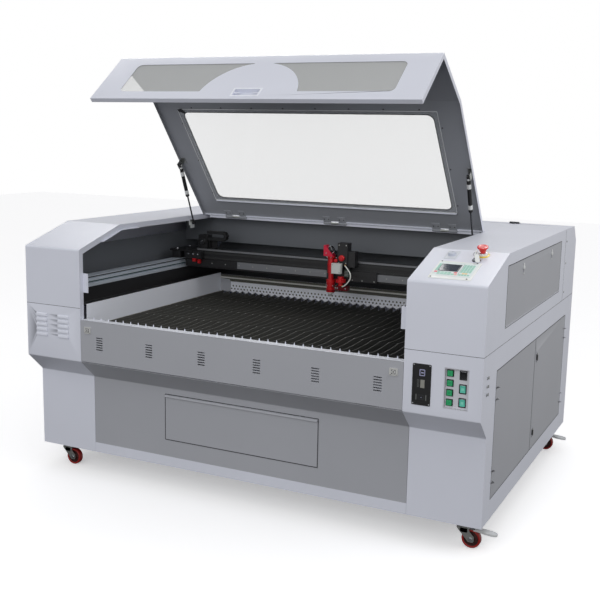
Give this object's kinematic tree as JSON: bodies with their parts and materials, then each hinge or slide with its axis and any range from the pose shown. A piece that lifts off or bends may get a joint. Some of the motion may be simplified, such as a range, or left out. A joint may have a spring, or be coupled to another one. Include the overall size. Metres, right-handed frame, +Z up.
{
  "type": "laser engraving machine",
  "caption": "Floor-standing laser engraving machine with end housings, opening lid, slatted bed, moving gantry, side doors and casters.",
  "frame": {"origin": "bottom centre of the whole machine's box, on the floor under the wheels", "axes": "+X to the viewer's right along the width, +Y to the back, +Z up; the front faces -Y"},
  "size_m": [2.149, 1.7, 1.8719],
  "materials": {
    "paint": "satin",
    "grey_paint": "satin",
    "dark_paint": "satin",
    "black_metal": "satin",
    "aluminium": "brushed",
    "steel": "plain",
    "red_metal": "gloss",
    "red_plastic": "gloss",
    "pale_plastic": "matt",
    "black_plastic": "matt",
    "green_plastic": "gloss",
    "teal_plastic": "gloss",
    "clear_pane": "clear",
    "smoked_pane": "tinted",
    "tube_glass": "clear",
    "red_wheel": "matt"
  },
  "bodies": {
    "machine": {"base_frame": "paint", "left_upper_housing": "paint", "right_upper_housing": "paint", "left_lower_housing": "paint", "right_lower_housing": "paint", "front_lower_panel": "grey_paint", "rear_casing": "paint", "rear_top_panel": "paint", "bed_deck": "black_metal", "bed_well": "paint", "rear_slat_rail": "paint", "knife_slats": "black_metal", "inner_walls": "dark_paint", "y_rails": "aluminium", "laser_tube": "tube_glass", "tube_supports": "black_metal", "power_supply": "steel", "control_panel": "pale_plastic", "port_plate": "black_plastic", "switch_tray": "paint", "fasteners": "steel"},
    "lid": {"lid_shell": "paint", "lid_window": "clear_pane", "fascia_windows": "smoked_pane", "lid_pull": "paint", "lid_hardware": "steel"},
    "left_cylinder": {"left_strut_cylinder": "black_metal"},
    "right_cylinder": {"right_strut_cylinder": "black_metal"},
    "left_rod": {"left_strut_rod": "steel"},
    "right_rod": {"right_strut_rod": "steel"},
    "flap": {"front_flap": "grey_paint"},
    "drawer": {"drawer": "grey_paint"},
    "hatch": {"side_hatch": "grey_paint"},
    "door_front": {"front_door": "grey_paint"},
    "door_rear": {"rear_door": "grey_paint"},
    "cover": {"tube_cover": "paint"},
    "gantry": {"gantry_beam": "black_metal", "gantry_rail": "aluminium", "drag_chain": "black_plastic"},
    "carriage": {"head_carriage": "black_metal", "laser_head": "red_metal", "air_hose": "pale_plastic"},
    "focus": {"focus_tube": "red_metal"},
    "stop": {"stop_button": "red_plastic"},
    "key": {"switch_key": "steel"},
    "green_1": {"green_button_1": "green_plastic"},
    "green_2": {"green_button_2": "green_plastic"},
    "green_3": {"green_button_3": "green_plastic"},
    "green_4": {"green_button_4": "green_plastic"},
    "rock_1": {"rocker_1": "black_plastic"},
    "rock_2": {"rocker_2": "teal_plastic"},
    "rock_3": {"rocker_3": "teal_plastic"},
    "fork_fl": {"caster_fork_fl": "steel"},
    "wheel_fl": {"caster_wheel_fl": "red_wheel"},
    "fork_fr": {"caster_fork_fr": "steel"},
    "wheel_fr": {"caster_wheel_fr": "red_wheel"},
    "fork_rl": {"caster_fork_rl": "steel"},
    "wheel_rl": {"caster_wheel_rl": "red_wheel"},
    "fork_rr": {"caster_fork_rr": "steel"},
    "wheel_rr": {"caster_wheel_rr": "red_wheel"}
  },
  "joints": [
    {"name": "lid_hinge", "type": "hinge", "parent": "machine", "child": "lid", "pos_m": [-0.02246, 0.179, 1.125], "axis": [1, 0, 0], "range_deg": [0, 51.3]},
    {"name": "left_strut_turn", "type": "hinge", "parent": "lid", "child": "left_cylinder", "pos_m": [-0.75646, -0.07356, 1.38907], "axis": [1, 0, 0], "range_deg": [-0.5, 17.76]},
    {"name": "left_strut_slide", "type": "slide", "parent": "left_cylinder", "child": "left_rod", "axis": [0, -0.3816, 0.9243], "range_m": [-0.001, 0.0849]},
    {"name": "right_strut_turn", "type": "hinge", "parent": "lid", "child": "right_cylinder", "pos_m": [0.71154, -0.07356, 1.38907], "axis": [1, 0, 0], "range_deg": [-0.5, 17.76]},
    {"name": "right_strut_slide", "type": "slide", "parent": "right_cylinder", "child": "right_rod", "axis": [0, -0.3816, 0.9243], "range_m": [-0.001, 0.0849]},
    {"name": "flap_hinge", "type": "hinge", "parent": "machine", "child": "flap", "pos_m": [-0.02246, -0.837, 0.564], "axis": [1, 0, 0], "range_deg": [0, 95]},
    {"name": "drawer_slide", "type": "slide", "parent": "machine", "child": "drawer", "axis": [0, -1, 0], "range_m": [0, 0.6]},
    {"name": "hatch_hinge", "type": "hinge", "parent": "machine", "child": "hatch", "pos_m": [1.02754, -0.065, 0.853], "axis": [0, 1, 0], "range_deg": [0, 90]},
    {"name": "front_door_hinge", "type": "hinge", "parent": "machine", "child": "door_front", "pos_m": [1.02054, -0.642, 0.438], "axis": [0, 0, -1], "range_deg": [0, 100]},
    {"name": "rear_door_hinge", "type": "hinge", "parent": "machine", "child": "door_rear", "pos_m": [1.02054, 0.636, 0.438], "axis": [0, 0, 1], "range_deg": [0, 100]},
    {"name": "cover_hinge", "type": "hinge", "parent": "machine", "child": "cover", "pos_m": [-0.02246, 0.68, 1.137], "axis": [1, 0, 0], "range_deg": [0, 95]},
    {"name": "gantry_slide", "type": "slide", "parent": "machine", "child": "gantry", "axis": [0, -1, 0], "range_m": [-0.13, 0.8]},
    {"name": "carriage_slide", "type": "slide", "parent": "gantry", "child": "carriage", "axis": [1, 0, 0], "range_m": [-0.7, 0.53]},
    {"name": "focus_slide", "type": "slide", "parent": "carriage", "child": "focus", "axis": [0, 0, 1], "range_m": [-0.03, 0.026]},
    {"name": "stop_press", "type": "slide", "parent": "machine", "child": "stop", "axis": [0, 0.2904, -0.9569], "range_m": [0, 0.004], "stiffness_N_per_m": 800},
    {"name": "key_turn", "type": "hinge", "parent": "machine", "child": "key", "pos_m": [0.92354, -0.64341, 1.11767], "axis": [0, -0.2904, 0.9569], "range_deg": [0, 90]},
    {"name": "green_1_press", "type": "slide", "parent": "machine", "child": "green_1", "axis": [0, 1, 0], "range_m": [0, 0.002], "stiffness_N_per_m": 400},
    {"name": "green_2_press", "type": "slide", "parent": "machine", "child": "green_2", "axis": [0, 1, 0], "range_m": [0, 0.002], "stiffness_N_per_m": 400},
    {"name": "green_3_press", "type": "slide", "parent": "machine", "child": "green_3", "axis": [0, 1, 0], "range_m": [0, 0.002], "stiffness_N_per_m": 400},
    {"name": "green_4_press", "type": "slide", "parent": "machine", "child": "green_4", "axis": [0, 1, 0], "range_m": [0, 0.002], "stiffness_N_per_m": 400},
    {"name": "rocker_1_tilt", "type": "hinge", "parent": "machine", "child": "rock_1", "pos_m": [0.95204, -0.828, 0.713], "axis": [1, 0, 0], "range_deg": [-12, 0]},
    {"name": "rocker_2_tilt", "type": "hinge", "parent": "machine", "child": "rock_2", "pos_m": [0.95204, -0.828, 0.6617], "axis": [1, 0, 0], "range_deg": [-12, 0]},
    {"name": "rocker_3_tilt", "type": "hinge", "parent": "machine", "child": "rock_3", "pos_m": [0.95204, -0.828, 0.6104], "axis": [1, 0, 0], "range_deg": [-12, 0]},
    {"name": "swivel_fl", "type": "hinge", "parent": "machine", "child": "fork_fl", "pos_m": [-0.98446, -0.685, 0.09], "axis": [0, 0, 1], "continuous": true},
    {"name": "wheel_fl_spin", "type": "hinge", "parent": "fork_fl", "child": "wheel_fl", "pos_m": [-0.95046, -0.685, 0.0375], "axis": [0, 1, 0], "continuous": true},
    {"name": "swivel_fr", "type": "hinge", "parent": "machine", "child": "fork_fr", "pos_m": [0.93954, -0.685, 0.09], "axis": [0, 0, 1], "continuous": true},
    {"name": "wheel_fr_spin", "type": "hinge", "parent": "fork_fr", "child": "wheel_fr", "pos_m": [0.97354, -0.685, 0.0375], "axis": [0, 1, 0], "continuous": true},
    {"name": "swivel_rl", "type": "hinge", "parent": "machine", "child": "fork_rl", "pos_m": [-0.98446, 0.643, 0.09], "axis": [0, 0, 1], "continuous": true},
    {"name": "wheel_rl_spin", "type": "hinge", "parent": "fork_rl", "child": "wheel_rl", "pos_m": [-0.95046, 0.643, 0.0375], "axis": [0, 1, 0], "continuous": true},
    {"name": "swivel_rr", "type": "hinge", "parent": "machine", "child": "fork_rr", "pos_m": [0.93954, 0.643, 0.09], "axis": [0, 0, 1], "continuous": true},
    {"name": "wheel_rr_spin", "type": "hinge", "parent": "fork_rr", "child": "wheel_rr", "pos_m": [0.97354, 0.643, 0.0375], "axis": [0, 1, 0], "continuous": true}
  ],
  "couplings": [
    {"joint": "left_strut_turn", "follows": "lid_hinge", "ratio": 0.33641},
    {"joint": "left_strut_slide", "follows": "lid_hinge", "m_per_rad": 0.09375},
    {"joint": "right_strut_turn", "follows": "lid_hinge", "ratio": 0.33641},
    {"joint": "right_strut_slide", "follows": "lid_hinge", "m_per_rad": 0.09375}
  ]
}
